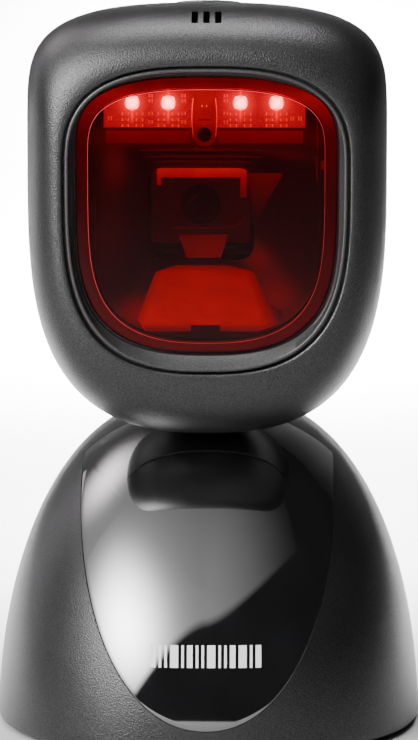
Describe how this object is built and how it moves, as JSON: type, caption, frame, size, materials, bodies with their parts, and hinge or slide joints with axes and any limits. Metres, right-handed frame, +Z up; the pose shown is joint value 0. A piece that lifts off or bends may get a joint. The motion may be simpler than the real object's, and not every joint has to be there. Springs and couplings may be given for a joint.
{
  "type": "presentation barcode scanner",
  "caption": "Hands-free countertop barcode scanner: rounded imager head with a red window, tilting on a weighted bell-shaped stand with a gloss front panel.",
  "frame": {"origin": "on the counter, under the centre of the stand's footprint", "axes": "+Z up; the scan window looks towards -Y; the tilt axis runs along X"},
  "size_m": [0.086, 0.0976, 0.1467],
  "materials": {
    "charcoal": "fine-textured matte",
    "gloss": "piano-black gloss",
    "bezel": "satin",
    "black": "matte",
    "window": "clear red, polished",
    "ramp": "satin, lit red by the lamps",
    "board": "solder-masked glass fibre",
    "led": "lit lamp",
    "steel": "zinc-plated",
    "rubber": "matte",
    "foam": "closed-cell foam",
    "lens": "coated lens",
    "white": "natural nylon"
  },
  "bodies": {
    "base": {"base_housing": "charcoal", "front_panel": "gloss", "base_plate": "black", "anti_slip_pad": "rubber", "ballast_weight": "steel", "base_screw_1": "steel", "base_screw_2": "steel", "base_screw_3": "steel", "base_screw_4": "steel", "hinge_tower": "black", "tower_screw_left": "steel", "tower_screw_right": "steel", "tilt_bracket": "steel", "bracket_screw_left": "steel", "bracket_screw_right": "steel", "tilt_pin": "steel", "tilt_nut": "steel", "disc_spring": "steel", "friction_washer_left": "white", "friction_washer_right": "white", "interface_board": "board", "cable_jack": "black"},
    "head": {"front_housing": "charcoal", "rear_housing": "charcoal", "neck": "charcoal", "bezel_ring": "bezel", "imager_shroud": "black", "imager_housing": "black", "lens_barrel": "black", "beeper": "black", "tact_switch": "black", "scan_window": "window", "diffuser_ramp": "ramp", "light_baffle": "ramp", "board_clamp": "ramp", "led_board": "board", "main_board": "board", "switch_board": "board", "led_1": "led", "led_2": "led", "led_3": "led", "led_4": "led", "neck_screw_left": "steel", "neck_screw_right": "steel", "clamp_screw": "steel", "head_screw_1": "steel", "head_screw_2": "steel", "head_screw_3": "steel", "head_screw_4": "steel", "window_gasket": "foam", "lens_glass": "lens", "board_connector": "white"},
    "button": {"button_cap": "bezel", "switch_plunger": "white"}
  },
  "joints": [
    {"name": "head_tilt", "type": "hinge", "parent": "base", "child": "head", "pos_m": [0, 0.008, 0.054], "axis": [1, 0, 0], "range_deg": [-22, 7]},
    {"name": "button_press", "type": "slide", "parent": "head", "child": "button", "axis": [0, -0.1495, -0.9888], "range_m": [0, 0.0004], "stiffness_N_per_m": 800, "springref_m": -0.0005}
  ]
}
